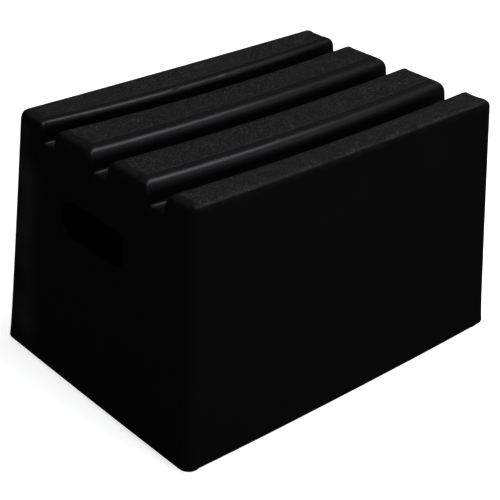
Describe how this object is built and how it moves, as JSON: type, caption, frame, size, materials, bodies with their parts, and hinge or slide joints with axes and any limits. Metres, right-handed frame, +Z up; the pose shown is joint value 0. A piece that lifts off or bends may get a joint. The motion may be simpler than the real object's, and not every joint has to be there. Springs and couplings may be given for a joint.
{
  "type": "mounting block",
  "caption": "One-step moulded plastic mounting block with ribbed treads, drain grooves, end hand-holds and screwed rubber feet.",
  "frame": {"origin": "centre of the base at floor level, under the feet", "axes": "+X along the treads and grooves, +Y from front to back, +Z up"},
  "size_m": [0.4954, 0.3524, 0.305],
  "materials": {
    "body_polyethylene": "black moulded polyethylene, satin, grained on the tread tops",
    "plug_polyethylene": "black moulded polyethylene, smooth",
    "foot_rubber": "black rubber, matt",
    "plated_steel": "zinc-plated steel, dull bright",
    "insert_brass": "machined brass"
  },
  "bodies": {
    "root": {"body_shell": "body_polyethylene", "vent_plug": "plug_polyethylene", "foot_front_left": "foot_rubber", "foot_washer_front_left": "plated_steel", "foot_screw_front_left": "plated_steel", "threaded_insert_front_left": "insert_brass", "foot_front_right": "foot_rubber", "foot_washer_front_right": "plated_steel", "foot_screw_front_right": "plated_steel", "threaded_insert_front_right": "insert_brass", "foot_back_left": "foot_rubber", "foot_washer_back_left": "plated_steel", "foot_screw_back_left": "plated_steel", "threaded_insert_back_left": "insert_brass", "foot_back_right": "foot_rubber", "foot_washer_back_right": "plated_steel", "foot_screw_back_right": "plated_steel", "threaded_insert_back_right": "insert_brass"}
  },
  "joints": []
}
